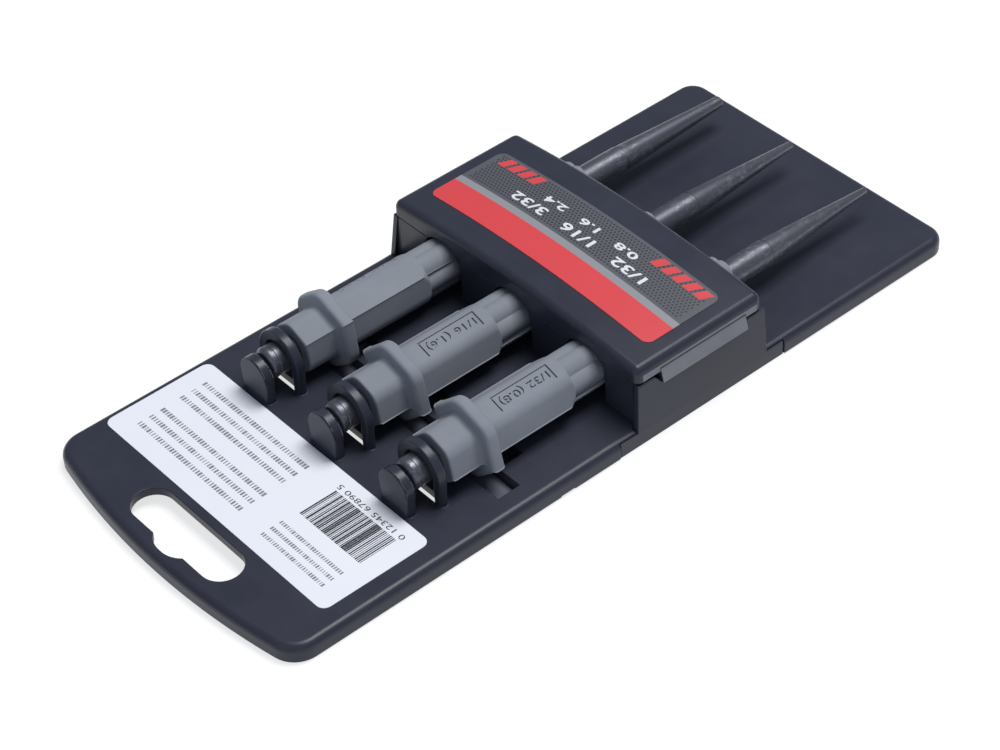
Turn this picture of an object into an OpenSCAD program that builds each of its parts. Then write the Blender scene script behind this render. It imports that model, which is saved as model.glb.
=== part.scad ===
// Three nail setters in a moulded hanging holder.
// Millimetres. +Z up, +Y towards the tips, hang slot at -Y, origin on the table under the tray's middle.

/* [Tray] */
// Width of the tray across the three punches
tray_w = 90; // [86:1:110]
// Length of the tray from hang end to tip end
tray_l = 208; // [204:1:240]
// Height of the tray's top face
tray_h = 4.8; // [4.6:0.1:7]
// Thickness of the tray's top plate
plate_t = 2.4; // [1.6:0.1:3]
// Thickness of the skirt round the edge
skirt_t = 2.4; // [1.6:0.1:3]
// Rounding of the top rim
rim_r = 2; // [0.5:0.1:2.2]
// Corner radius at the tip end
far_r = 5; // [3:0.5:12]
// Corner radius at the hang end
near_r = 7; // [3:0.5:15]
// How far the hang end bows out
bow = 5; // [2:0.5:10]

/* [Hang slot] */
// Length of the slot across the tray
slot_w = 36; // [28:1:45]
// Height of the slot
slot_h = 10.3; // [8:0.1:12]
// Distance of the slot from the hang end
slot_in = 4.7; // [4.7:0.1:6]
// Depth of the hook notch in the slot's outer side
hump_h = 2.2; // [1:0.1:2.2]
// Width of the hook notch at its mouth
hump_w = 11; // [6:0.5:16]

/* [Stops and hoops] */
// Distance between two punches
pitch = 25.5; // [24:0.1:30]
// Air between a lying grip and the tray
body_air = 0.22; // [0.15:0.01:1]
// Distance of the end stops from the hang end
stop_in = 48.25; // [48:0.05:52]
// Width of an end stop
stop_w = 9.8; // [7:0.1:12]
// Height of an end stop over the punch axes
stop_up = 3.4; // [1:0.05:5]
// Thickness of an end stop
stop_t = 2.8; // [1.5:0.1:4]
// Air between an end stop and the head
head_air = 0.65; // [0.3:0.05:1]
// Distance of a hoop behind the head's end
hoop_in_y = 4.1; // [3:0.1:4.2]
// Half width of a hoop's opening
hoop_in = 5; // [4.5:0.1:6]
// Thickness of a hoop's band
hoop_band = 2.4; // [1.2:0.1:3]
// Length of a hoop along the punch
hoop_t = 2.3; // [1.6:0.1:4]
// How far the hole under a hoop runs on behind it
hole_more = 0.6; // [0:0.1:1.5]
// Air over the head inside a hoop
hoop_air = 0.4; // [0.35:0.05:1.5]

/* [Steel] */
// Diameter of the rods
rod_d = 7; // [6:0.1:7.4]
// Length of the taper at the tip
taper_l = 34.6; // [25:0.1:45]
// Length of a rod from head to tip
rod_l = 146.8; // [140:0.1:148]
// Diameter of the head
head_d = 8; // [7:0.1:8.4]
// Length of the head
head_l = 7.4; // [5:0.1:7.6]
// Bevel round the head
head_bevel = 0.7; // [0.2:0.1:1.5]
// Step where the taper begins
ring_step = 0.12; // [0.05:0.01:0.3]
// Tip diameter of the widest punch
tip_wide = 3; // [2.2:0.1:4]
// Tip diameter of the middle punch
tip_mid = 2; // [1.4:0.1:3]
// Tip diameter of the finest punch
tip_fine = 1.7; // [0.8:0.1:2.4]

/* [Grips] */
// Size of the hexagon across its flats
hex_af = 12.7; // [11:0.1:12.9]
// Rounding of the hexagon's edges
hex_r = 3.4; // [0.5:0.1:4]
// Air between a hoop and the grip
block_air = 2; // [1:0.05:3]
// Size of the flange across its flats
flange_af = 19; // [16:0.1:19.2]
// Rounding of the flange's edges
flange_r = 4.5; // [1:0.1:5]
// Thickness of the flange
flange_t = 3.45; // [2.5:0.05:5]
// Length of the hexagon behind the flange
block_l = 8.85; // [6:0.05:11]
// Length of the hexagon before the flange
body_l = 22.4; // [18:0.1:22.4]
// Length of the sloped shoulder
shoulder_l = 2.2; // [1:0.1:2.4]
// Radius of the fluted nose over its lobes
nose_r = 6.2; // [5.8:0.05:6.3]
// Radius of one lobe of the nose
lobe_r = 3.2; // [2.9:0.05:3.4]
// Ledge between the shoulder and the nose
ledge = 0.3; // [0.1:0.05:0.6]
// Least wall of the grip round the rod
core_wall = 0.4; // [0.3:0.05:0.45]
// Length of the nose through the bridge
nose_l = 52.7; // [48:0.1:58]
// Radial fit between rod and grip
grip_fit = 0.03; // [0.01:0.01:0.1]
// Roll of the two nearer grips
roll_near = 73; // [0:1:120]
// Roll of the far grip
roll_far = 128; // [0:1:180]

/* [Trough] */
// Half width of the trough under the flanges
trough_hw = 39; // [38:0.1:41]
// Room behind each flange in the trough
trough_back = 1.75; // [0.5:0.05:4]
// Room before each flange in the trough
trough_front = 1.1; // [0.5:0.05:3]
// Room under each flange in the trough
trough_air = 0.3; // [0.25:0.05:0.6]
// Thickness of the trough's walls
trough_wall = 1.2; // [0.8:0.1:2]
// Room round a flange in the runway that it slides along
runway_air = 0.3; // [0.25:0.05:0.8]

/* [Bridge] */
// Distance of the bridge from the grips' shoulders
bridge_gap = 7.5; // [6.8:0.1:9]
// Length of the bridge's side walls
bridge_l = 41.3; // [38:0.1:46]
// Thickness of the side walls
wall_t = 1.7; // [1.2:0.1:2]
// How far the walls stand in from the tray's side at their foot
wall_in = 0.3; // [0.1:0.1:0.8]
// How far the walls lean in towards their top
wall_lean = 1.1; // [0.3:0.1:1.5]
// Length of a foot beyond the wall
foot_out = 5.4; // [3:0.1:8]
// Thickness of the tray's lip over a foot
lip_t = 0.6; // [0.4:0.1:1]
// Thickness of the cross walls
cross_t = 2; // [1.5:0.1:3]
// Distance of the rear cross wall from the wall ends
cross_in = 5; // [4.6:0.1:5.8]
// How far the front wall stands in from the slope of the side walls
front_in = 0.1; // [0.05:0.05:0.3]
// Air round the noses in the cross walls and the lid
nose_air = 0.5; // [0.35:0.05:1]
// Gap between the mouldings of the holder
fit_gap = 0.2; // [0.1:0.05:0.4]
// Gap where one moulding sits on another
seat_gap = 0.02; // [0.01:0.01:0.05]

/* [Lid] */
// How far the lid stands in from the bridge's front
lid_in = 0.9; // [0.6:0.1:1.5]
// Length of the lid
lid_l = 39.9; // [36:0.1:42]
// Height of the lid's lower edge over the punch axes
lid_up = 4.45; // [4.2:0.05:5]
// Height of the lid at its sides
lid_h = 4.5; // [4:0.1:7]
// Rise of the lid's top towards the middle
crown = 2.5; // [1:0.1:4]
// Thickness of the lid
lid_t = 1.8; // [1.2:0.1:2.5]
// Rounding of the lid's top edges
lid_r = 1.8; // [0.5:0.1:2.4]
// Radius of the lid's corners seen from above
lid_corner = 2; // [1:0.1:4]
// Distance of the latch tabs from the lid's front
latch_in = 7.3; // [7.2:0.1:9]
// Length of the latch tabs
latch_l = 26.9; // [20:0.1:27]
// Height of the latch tab under the lid's edge
latch_h = 1.9; // [1:0.1:3]

/* [Labels] */
// Thickness of the stickers
label_t = 0.15; // [0.05:0.05:0.3]
// Air under the stickers
label_air = 0.02; // [0.01:0.01:0.05]
// Distance of the tray sticker from the hang end
tray_label_in = 17.25; // [17:0.05:17.9]
// Shift of the tray sticker to the left
tray_label_off = 1.7; // [0:0.1:2]
// Width of the tray sticker
tray_label_w = 82; // [60:1:82]
// Length of the tray sticker
tray_label_l = 30.2; // [20:0.1:30.2]
// Distance of the lid sticker from the lid's front
lid_label_in = 7.75; // [6:0.05:9]
// Width of the lid sticker
lid_label_w = 77; // [50:1:78]
// Length of the lid sticker
lid_label_l = 23.6; // [18:0.1:25]
// Corner radius of the stickers
label_r = 2.2; // [1:0.1:4]

/* [Hidden] */
$fn = 64;

// Overshoot of cutters and thickness of hull slices
over = 1;
slice = 0.01;
// Segments of a rounded corner and of the long arcs
corner_n = 6;
edge_n = 3;
arc_n = 16;
// Least edge radius of the lid's end slices
least_edge = 0.6;

plastic = [0.10, 0.10, 0.12];
grey = [0.45, 0.47, 0.50];
steel = [0.20, 0.20, 0.21];
white = [0.92, 0.93, 0.96];
red = [0.85, 0.12, 0.14];

half_w = tray_w / 2;
half_l = tray_l / 2;
axes = [-pitch, 0, pitch];

// Bow of the hang end: its radius, its centre and the centres of the near corners
bow_r = (half_w * half_w + bow * bow) / (2 * bow);
bow_y = bow_r - half_l;
near_x = half_w - near_r;
near_y = bow_y - sqrt(pow(bow_r - near_r, 2) - near_x * near_x);
near_turn = acos(near_x / (bow_r - near_r));

// Heights
hex_far = hex_af / 2 / cos(30);
axis_z = tray_h + hex_far + body_air;
stop_top = axis_z + stop_up;
foot_h = tray_h - lip_t - fit_gap;
trough_z = axis_z + min(lowest(hexagon(flange_af, flange_r, roll_far)),
    lowest(hexagon(flange_af, flange_r, roll_near))) - trough_air;
lid_z = axis_z + lid_up;
lid_side_z = lid_z + lid_h;
lid_mid_z = lid_side_z + crown;
wall_h = lid_z - seat_gap;

// Places along the punches
stop_y = stop_in - half_l;
head_y = stop_y + stop_t + head_air;
hoop_y = head_y + hoop_in_y;
block_y = hoop_y + hoop_t + block_air;
flange_y = block_y + block_l;
body_y = flange_y + flange_t;
shoulder_y = body_y + body_l;
nose_y = shoulder_y + shoulder_l;
rod_r = rod_d / 2;
head_r = head_d / 2;
taper_y = head_y + rod_l - taper_l;
bridge_y0 = nose_y + bridge_gap;
bridge_y1 = bridge_y0 + bridge_l;
lid_y0 = bridge_y0 + lid_in;
lid_y1 = lid_y0 + lid_l;

// Forward travel of a punch until its shoulder meets the lid
stop_gap = 0.4;
travel = lid_y0 - nose_y - stop_gap;
hoop_z = axis_z + head_r + hoop_air - hoop_in;
runway_end = body_y + travel + runway_air;
rolls = [roll_far, roll_near, roll_near];

// Bridge and lid
tunnel_r = nose_r + nose_air;
wall_x = half_w - wall_in;
lid_hw = wall_x - wall_lean - fit_gap;
crown_r = (lid_hw * lid_hw + crown * crown) / (2 * crown);
crown_z = lid_mid_z - crown_r;
latch_y0 = lid_y0 + latch_in;
latch_z = lid_z - latch_h;
// Webs that carry the cross walls over the tunnels, inside the lid
web_rim = 1.1;
web_hw = pitch + tunnel_r + web_rim;
web_z = axis_z + tunnel_r + web_rim;
front_y = bridge_y0 + wall_lean + front_in;

// Points of an arc, in order
function arc(cx, cy, r, a0, a1, n) =
    [for (i = [0:n]) let (a = a0 + (a1 - a0) * i / n) [cx + r * cos(a), cy + r * sin(a)]];

// The same without its two ends
function inner_arc(cx, cy, r, a0, a1, n) =
    let (step = (a1 - a0) / n) arc(cx, cy, r, a0 + step, a1 - step, n - 2);

// Tray outline moved inwards by d
function outline(d) = concat(
    arc(half_w - far_r, half_l - far_r, far_r - d, 0, 90, corner_n),
    arc(far_r - half_w, half_l - far_r, far_r - d, 90, 180, corner_n),
    arc(-near_x, near_y, near_r - d, 180, 180 + near_turn, corner_n),
    inner_arc(0, bow_y, bow_r - d, 180 + near_turn, 360 - near_turn, arc_n),
    arc(near_x, near_y, near_r - d, 360 - near_turn, 360, corner_n));

// Hexagon with four rounded edges and two sharp ones on the parting plane
function hexagon(af, r, roll) = [for (i = [0:5])
    let (a = roll + 30 + 60 * i, far = af / 2 / cos(30), mid = far - r / cos(30))
    each (i % 3 == 1 ? [[far * cos(a), far * sin(a)]]
        : arc(mid * cos(a), mid * sin(a), r, a - 30, a + 30, 4))];

// Lowest height in a list of X-Z points
function lowest(points) = min([for (p = points) p[1]]);

// Crown of the lid raised by rise
function crown_arc(rise) = let (turn = asin(lid_hw / crown_r))
    arc(0, crown_z, crown_r + rise, 90 - turn, 90 + turn, arc_n);

// Lid across the punches, moved inwards by d, with its upper edges rounded to radius e
function crown_line(d, e, low) =
    let (x = lid_hw - d - e, r = crown_r - d - e, a = acos(x / r), z = crown_z + r * sin(a)) concat(
        [[x + e, low]],
        arc(x, z, e, 0, a, edge_n),
        inner_arc(0, crown_z, r + e, a, 180 - a, arc_n),
        arc(-x, z, e, 180 - a, 180, edge_n),
        [[-x - e, low]]);

// Extrudes an X-Z shape along Y
module along_y(y, len) {
    translate([0, y + len, 0]) rotate([90, 0, 0]) linear_extrude(len) children();
}

module box(x0, x1, y0, y1, z0, z1) {
    translate([x0, y0, z0]) cube([x1 - x0, y1 - y0, z1 - z0]);
}

module rounded(w, l, r) {
    polygon(concat(
        arc(w / 2 - r, l / 2 - r, r, 0, 90, corner_n),
        arc(r - w / 2, l / 2 - r, r, 90, 180, corner_n),
        arc(r - w / 2, r - l / 2, r, 180, 270, corner_n),
        arc(w / 2 - r, r - l / 2, r, 270, 360, corner_n)));
}

module tray_skin() {
    hull() {
        linear_extrude(slice) polygon(outline(0));
        for (a = [0, 30, 60, 90])
            translate([0, 0, tray_h - rim_r + rim_r * sin(a) - slice])
                linear_extrude(slice) polygon(outline(rim_r * (1 - cos(a))));
    }
}

module hang_slot() {
    end_r = slot_h / 2;
    slot_y = slot_in + end_r - half_l;
    translate([0, 0, -over]) linear_extrude(tray_h + 2 * over) {
        translate([0, slot_y]) square([slot_w - slot_h, slot_h], center = true);
        for (s = [-1, 1])
            translate([s * (slot_w / 2 - end_r), slot_y]) circle(end_r);
        polygon([[-hump_w / 2, slot_y - end_r + slice], [hump_w / 2, slot_y - end_r + slice],
            [hump_w / 4, slot_y - end_r - hump_h], [-hump_w / 4, slot_y - end_r - hump_h]]);
    }
}

// Arch that stands on the tray
module arch(r, top_z) {
    translate([0, top_z - r]) circle(r);
    translate([-r, tray_h - plate_t]) square([2 * r, top_z - r - tray_h + plate_t]);
}

module holder_tray() {
    hoop_out = hoop_in + hoop_band;
    hoop_top = hoop_z + hoop_in;
    color(plastic) difference() {
        union() {
            difference() {
                tray_skin();
                translate([0, 0, -over])
                    linear_extrude(tray_h - plate_t + over) polygon(outline(skirt_t));
            }
            box(-trough_hw - trough_wall, trough_hw + trough_wall, flange_y - trough_back - trough_wall,
                body_y + trough_front + trough_wall, 0, tray_h - plate_t + slice);
            for (x = axes) {
                box(x - flange_af / 2, x + flange_af / 2, flange_y,
                    runway_end + trough_wall, 0, tray_h - plate_t + slice);
                translate([x, 0, 0]) along_y(stop_y, stop_t) arch(stop_w / 2, stop_top);
                translate([x, 0, 0]) along_y(hoop_y, hoop_t) arch(hoop_out, hoop_top + hoop_band);
            }
        }
        hang_slot();
        box(-trough_hw, trough_hw, flange_y - trough_back, body_y + trough_front, trough_z, tray_h + over);
        for (i = [0:2]) {
            x = axes[i];
            translate([x, 0, axis_z]) along_y(flange_y, runway_end - flange_y)
                polygon(hexagon(flange_af + 2 * runway_air, flange_r, rolls[i]));
            translate([x, 0, hoop_z]) rotate([-90, 0, 0])
                translate([0, 0, hoop_y - over]) cylinder(r = hoop_in, h = hoop_t + 2 * over);
            box(x - hoop_in, x + hoop_in, hoop_y, hoop_y + hoop_t + hole_more, -over, hoop_z);
        }
        for (s = [-1, 1]) {
            side_notch(s, bridge_y0 - fit_gap, bridge_y1 + fit_gap, tray_h + over);
            side_notch(s, bridge_y0 - foot_out - fit_gap, bridge_y1 + foot_out + fit_gap, foot_h + fit_gap);
        }
    }
}

// Cut in the tray's side that takes the bridge's wall or foot
module side_notch(side, y0, y1, top) {
    inner = wall_x - wall_t - fit_gap;
    outer = half_w + over;
    box(side > 0 ? inner : -outer, side > 0 ? outer : -inner, y0, y1, -over, top);
}

// Side wall: it leans in at its face and at its front edge
module side_wall(side) {
    intersection() {
        along_y(bridge_y0 - foot_out, bridge_l + 2 * foot_out)
            polygon([for (v = [[wall_x - wall_t, 0], [wall_x, 0], [wall_x, foot_h],
                [wall_x - wall_lean, wall_h], [wall_x - wall_lean - wall_t, wall_h],
                [wall_x - wall_t, foot_h]]) [side * v[0], v[1]]]);
        translate([-half_w, 0, 0]) rotate([90, 0, 90]) linear_extrude(tray_w)
            polygon([[bridge_y0 - foot_out, 0], [bridge_y1 + foot_out, 0], [bridge_y1 + foot_out, foot_h],
                [bridge_y1, foot_h], [bridge_y1, wall_h], [bridge_y0 + wall_lean, wall_h],
                [bridge_y0, foot_h], [bridge_y0 - foot_out, foot_h]]);
    }
}

module bridge_frame() {
    cross_hw = wall_x - wall_lean - fit_gap;
    back_y = bridge_y1 - cross_in;
    color(plastic) difference() {
        union() {
            for (s = [-1, 1])
                side_wall(s);
            box(-cross_hw, cross_hw, front_y, front_y + cross_t, tray_h + seat_gap, wall_h);
            box(-cross_hw, cross_hw, back_y, back_y + cross_t, tray_h + seat_gap, wall_h);
            for (y = [lid_y0 + lid_t + fit_gap, back_y])
                box(-web_hw, web_hw, y, y + cross_t, tray_h + seat_gap, web_z);
        }
        for (x = axes) {
            translate([x, 0, axis_z]) rotate([-90, 0, 0]) cylinder(r = tunnel_r, h = tray_l);
            box(x - tunnel_r, x + tunnel_r, bridge_y0, bridge_y1, tray_h - over, axis_z);
        }
        for (s = [-1, 1]) {
            cut_x = s > 0 ? lid_hw - lid_t - fit_gap : -half_w;
            box(cut_x, cut_x + half_w - lid_hw + lid_t + fit_gap, latch_y0 - fit_gap,
                latch_y0 + latch_l + fit_gap, latch_z - seat_gap, wall_h + over);
        }
    }
}

// Crowned block of the lid with rounded upper edges
module lid_skin() {
    intersection() {
        hull() {
            for (a = [0, 30, 60, 90]) {
                shift = lid_r * (1 - sin(a));
                inset = lid_r * (1 - cos(a));
                edge = max(lid_r - inset, least_edge);
                along_y(lid_y0 + shift, slice) polygon(crown_line(inset, edge, lid_z));
                along_y(lid_y1 - shift - slice, slice) polygon(crown_line(inset, edge, lid_z));
            }
        }
        translate([0, lid_y0 + lid_l / 2, lid_z - over])
            linear_extrude(lid_mid_z) rounded(2 * lid_hw, lid_l, lid_corner);
    }
}

module bridge_lid() {
    color(plastic) difference() {
        union() {
            difference() {
                lid_skin();
                along_y(lid_y0 + lid_t, lid_l - 2 * lid_t) polygon(crown_line(lid_t, lid_r, lid_z - over));
            }
            for (s = [-1, 1])
                along_y(latch_y0, latch_l) latch_section(s);
        }
        for (x = axes)
            translate([x, 0, axis_z]) rotate([-90, 0, 0]) cylinder(r = tunnel_r, h = tray_l);
    }
}

// Wedge that snaps into the window of the side wall
module latch_section(side) {
    out = wall_x - wall_lean * (latch_z - foot_h) / (wall_h - foot_h);
    polygon([for (v = [[lid_hw - lid_t, lid_z + slice], [lid_hw, lid_z + slice], [out, latch_z + slice],
        [out - slice, latch_z], [lid_hw - lid_t, latch_z]]) [side * v[0], v[1]]]);
}

module lid_label() {
    color(red) intersection() {
        translate([0, lid_y0 + lid_label_in + lid_label_l / 2, lid_side_z - over])
            linear_extrude(crown + 2 * over + label_t) rounded(lid_label_w, lid_label_l, label_r);
        along_y(lid_y0, lid_l) difference() {
            polygon(concat(crown_arc(label_air + label_t), [[0, lid_z]]));
            polygon(concat(crown_arc(label_air), [[0, lid_z - over]]));
        }
    }
}

module tray_label() {
    color(white)
        translate([-tray_label_off, tray_label_in + tray_label_l / 2 - half_l, tray_h + label_air])
            linear_extrude(label_t) rounded(tray_label_w, tray_label_l, label_r);
}

module punch(x, tip_d) {
    color(steel) translate([x, 0, axis_z]) rotate([-90, 0, 0]) rotate_extrude()
        polygon([[0, head_y], [head_r - head_bevel, head_y], [head_r, head_y + head_bevel],
            [head_r, head_y + head_l - head_r + rod_r], [rod_r, head_y + head_l], [rod_r, taper_y],
            [rod_r - ring_step, taper_y], [tip_d / 2, head_y + rod_l], [0, head_y + rod_l]]);
}

module grip(x, roll) {
    lobe_at = nose_r - lobe_r;
    core_r = rod_r + core_wall;
    color(grey) translate([x, 0, axis_z]) difference() {
        union() {
            along_y(block_y, block_l) polygon(hexagon(hex_af, hex_r, roll));
            along_y(flange_y, flange_t) polygon(hexagon(flange_af, flange_r, roll));
            intersection() {
                along_y(body_y, body_l + shoulder_l) polygon(hexagon(hex_af, hex_r, roll));
                rotate([-90, 0, 0]) rotate_extrude()
                    polygon([[0, body_y - over], [hex_far + over, body_y - over],
                        [hex_far + over, shoulder_y - over], [nose_r + ledge, nose_y],
                        [0, nose_y]]);
            }
            along_y(nose_y - over, nose_l + over) {
                circle(core_r);
                for (i = [0:5])
                    rotate(roll + 60 * i) translate([lobe_at, 0]) circle(lobe_r);
            }
        }
        rotate([-90, 0, 0]) translate([0, 0, block_y - over])
            cylinder(r = rod_r + grip_fit, h = nose_y + nose_l - block_y + 2 * over);
    }
}

holder_tray();
bridge_frame();
bridge_lid();
lid_label();
tray_label();
punch(axes[0], tip_wide);  // punch_3_32
punch(axes[1], tip_mid);  // punch_1_16
punch(axes[2], tip_fine);  // punch_1_32
grip(axes[0], roll_far);  // grip_3_32
grip(axes[1], roll_near);  // grip_1_16
grip(axes[2], roll_near);  // grip_1_32
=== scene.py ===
"""Three nail setters in a black moulded hanging holder: the looks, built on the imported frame."""

import math

import bmesh
import bpy
from mathutils import Matrix, Vector


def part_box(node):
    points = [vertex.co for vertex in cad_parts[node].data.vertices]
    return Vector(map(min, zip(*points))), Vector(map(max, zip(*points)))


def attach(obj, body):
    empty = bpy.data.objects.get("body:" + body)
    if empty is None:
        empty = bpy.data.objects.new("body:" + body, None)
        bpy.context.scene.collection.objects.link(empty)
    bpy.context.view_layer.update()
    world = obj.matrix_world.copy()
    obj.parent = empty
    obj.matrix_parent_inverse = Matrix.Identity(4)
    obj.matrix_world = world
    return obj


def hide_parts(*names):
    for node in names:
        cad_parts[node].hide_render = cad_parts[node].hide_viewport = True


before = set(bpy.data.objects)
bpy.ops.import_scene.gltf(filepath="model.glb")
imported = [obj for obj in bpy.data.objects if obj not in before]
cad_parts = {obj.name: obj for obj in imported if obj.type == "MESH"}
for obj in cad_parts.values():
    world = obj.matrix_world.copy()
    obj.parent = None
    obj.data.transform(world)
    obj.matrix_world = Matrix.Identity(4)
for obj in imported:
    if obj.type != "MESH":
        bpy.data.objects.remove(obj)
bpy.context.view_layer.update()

# Lengths below are millimetres, in the frame's own axes, and angles are degrees; a finished mesh is in metres
MM = 0.001
WELD = 0.003
CUT_PAST = 1.0
MARKS = ("3_32", "1_16", "1_32")
MARK_WORDS = {"3_32": "3/32 (2.4)", "1_16": "1/16 (1.6)", "1_32": "1/32 (0.8)"}
ROLLS = {"3_32": 128, "1_16": 73, "1_32": 73}


def box_mm(node):
    """Lowest and highest corner of a node of the frame, in millimetres."""
    low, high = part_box(node)
    return low / MM, high / MM


# Tray
tray_high = box_mm("holder_tray")[1]
paper_low, paper_high = box_mm("tray_label")
HALF_W = tray_high.x
HALF_L = tray_high.y
STICKER_AIR = 0.02
TRAY_TOP = paper_low.z - STICKER_AIR
PLATE = 2.4
SKIRT = 2.4
RIM = 2.0
FOOT_EDGE = 0.3
FAR_CORNER = 5.0
NEAR_CORNER = 7.0
BOW = 5.0
CORNER_STEPS = 10
BOW_STEPS = 28
RIM_STEPS = 7
SLOT_W = 36.0
SLOT_H = 10.3
SLOT_IN = 4.7
NOTCH_W = 11.0
NOTCH_H = 2.2
NOTCH_POWER = 2.6
SLOT_STEPS = 16
ARCH_STEPS = 28
STOP_Y = -55.75
STOP_T = 2.8
STOP_W = 9.8
STOP_UP = 3.4
STOP_EDGE = 0.95
HOOP_Y = -48.2
HOOP_T = 2.3
HOLE_SET = 0.45
HOLE_MORE = 0.2
HOOP_IN = 5.0
HOOP_BAND = 2.4
HOOP_EDGE = 1.0
HOOP_AIR = 0.4
TROUGH_HALF = 39.0
TROUGH_Y = (-36.8, -30.5)
TROUGH_AIR = 0.3
TROUGH_WALL = 1.2
RUNWAY_END = -23.1
RUNWAY_AIR = 0.3
MOULD_EDGE = 0.25
SEAM = 0.05
SKIRT_NICK = (-23.2, -19.2)
NICK_H = 0.45
WALL_SLOT_Y = (0.3, 42.0)
FOOT_SLOT_TOP = 4.2
BRIDGE_WALL = 1.7
BRIDGE_AIR = 0.2
TROUGH_FACING = 0.9

# Setters
rod_low, rod_high = box_mm("punch_1_32")
grip_low, grip_high = box_mm("grip_1_32")
HEAD_R = (rod_high.z - rod_low.z) / 2
HEAD_L = 7.4
# Rounded end of the head: place along the rod and depth below the head's radius
HEAD_ROUND = ((0.0, 1.0), (0.2, 0.55), (0.6, 0.18), (1.0, 0.0))
HEAD_RELIEF = 0.05
HEAD_CONE = 0.5
RING_Y = (1.7, 2.35)
RING_LEAN = 0.15
RING_DEPTH = 0.22
ROD_R = 3.5
AXIS_Z = (rod_high.z + rod_low.z) / 2
HEAD_Y = rod_low.y
TIP_Y = rod_high.y
TAPER_L = 34.6
TAPER_STEP = 0.12
NECK_L = 0.5
NECK_LEAN = 0.1
TIP_ROUND = 0.25
TIP_EDGE = 0.075
TIP_MORE = 0.02
ROD_SIDES = 64
TIP_WIDTHS = {"3_32": 3.0, "1_16": 2.0, "1_32": 1.7}
BLOCK_Y = grip_low.y
NOSE_END = grip_high.y
FLANGE_Y = -35.05
BODY_Y = -31.6
SHOULDER_Y = -9.2
NOSE_Y = -7.0
HEX_AF = 12.7
HEX_EDGE = 3.4
FLANGE_AF = 19.0
FLANGE_EDGE = 4.5
NOSE_R = 6.2
LOBE_R = 3.2
LEDGE = 0.3
BORE_FIT = 0.03
FLASH = 0.2
NOSE_FLASH = 0.95
FLASH_TURN = 0.8
PARTING = (90, 270)
TURN_STEPS = 96
BLOCK_EDGE = 0.5
RIM_EDGE = 1.0
RIM_FILLET = 0.9
ROUND_STEPS = 5
SHOULDER_LEAD = 1.0
SHOULDER_STEPS = 9
NOSE_ROOT = 0.4
NOSE_FILLET = 0.15
NOSE_ROUND = 0.6

# Bridge and lid
lid_low, lid_high = box_mm("bridge_lid")
print_low, print_high = box_mm("lid_label")
LID_HALF = 43.4
LID_Y0 = lid_low.y
LID_Y1 = lid_high.y
LID_Z = 16.8
LID_TOP = lid_high.z
CROWN = 2.5
CROWN_R = (LID_HALF**2 + CROWN**2) / (2 * CROWN)
LID_WALL = 1.8
LID_EDGE = 2.0
LID_CORNER = 2.0
LID_STEP = 0.4
LID_SLOPE = 0.1
LID_SOFT = 0.15
PLAN_STEPS = 24
EDGE_STEPS = 6
TUNNEL_R = 6.7
TUNNEL_STEPS = 60
LATCH_Y = (8.7, 35.6)
LATCH_Z = 14.9
LATCH_OUT = lid_high.x
LATCH_GAP_Y = 5.9
LATCH_TOP = 18.4
LATCH_LIP = 0.4
LATCH_RISE = 0.7
LATCH_AIR = 0.08
LATCH_FACING = 0.5


def axis_x(mark):
    """Place of a setter's axis across the tray."""
    low, high = box_mm("punch_" + mark)
    return (low.x + high.x) / 2


def cosd(angle):
    return math.cos(math.radians(angle))


def sind(angle):
    return math.sin(math.radians(angle))


def steps(start, end, count):
    """Evenly spaced values from start to end, both included."""
    return [start + (end - start) * i / count for i in range(count + 1)]


def arc(cx, cy, r, start, end, count):
    """Points of an arc, in degrees."""
    return [(cx + r * cosd(a), cy + r * sind(a)) for a in steps(start, end, count)]


# Mesh making

def skin(bm, rings, around=False, caps=True):
    """Joins closed rings of equal count; around joins the last to the first, caps closes both ends."""
    loops = [[bm.verts.new(p) for p in ring] for ring in rings]
    pairs = list(zip(loops, loops[1:]))
    if around:
        pairs.append((loops[-1], loops[0]))
    count = len(loops[0])
    for a, b in pairs:
        for i in range(count):
            j = (i + 1) % count
            bm.faces.new((a[i], a[j], b[j], b[i]))
    if caps and not around:
        bm.faces.new(loops[0])
        bm.faces.new(loops[-1])
    return loops


def block(bm, low, high):
    """Closed box between two corners."""
    outline = [(low[0], low[1]), (high[0], low[1]), (high[0], high[1]), (low[0], high[1])]
    skin(bm, [[(x, y, z) for x, y in outline] for z in (low[2], high[2])])


def bar_y(bm, outline, y0, y1):
    """Closed bar along Y with an X-Z outline."""
    return skin(bm, [[(x, y, z) for x, z in outline] for y in (y0, y1)])


def new_object(name, bm, scale=MM):
    """Object at the origin that holds the mesh, turned to metres."""
    bmesh.ops.recalc_face_normals(bm, faces=bm.faces)
    bmesh.ops.scale(bm, vec=(scale, scale, scale), verts=bm.verts)
    mesh = bpy.data.meshes.new(name)
    bm.to_mesh(mesh)
    bm.free()
    piece = bpy.data.objects.new(name, mesh)
    bpy.context.scene.collection.objects.link(piece)
    return piece


def settle(piece):
    """Turns the piece and its modifiers into a plain mesh."""
    graph = bpy.context.evaluated_depsgraph_get()
    shaped = piece.evaluated_get(graph)
    mesh = bpy.data.meshes.new_from_object(shaped, preserve_all_data_layers=True, depsgraph=graph)
    piece.modifiers.clear()
    old = piece.data
    piece.data = mesh
    bpy.data.meshes.remove(old)
    mesh.name = piece.name


def combine(piece, tool, operation, crossing=False):
    """Joins or cuts the piece with a tool object, which goes away.

    Crossing allows a tool that meets itself.
    """
    step = piece.modifiers.new("combine", "BOOLEAN")
    step.operation = operation
    step.solver = "EXACT"
    step.use_self = crossing
    step.object = tool
    settle(piece)
    bpy.data.objects.remove(tool)


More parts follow.
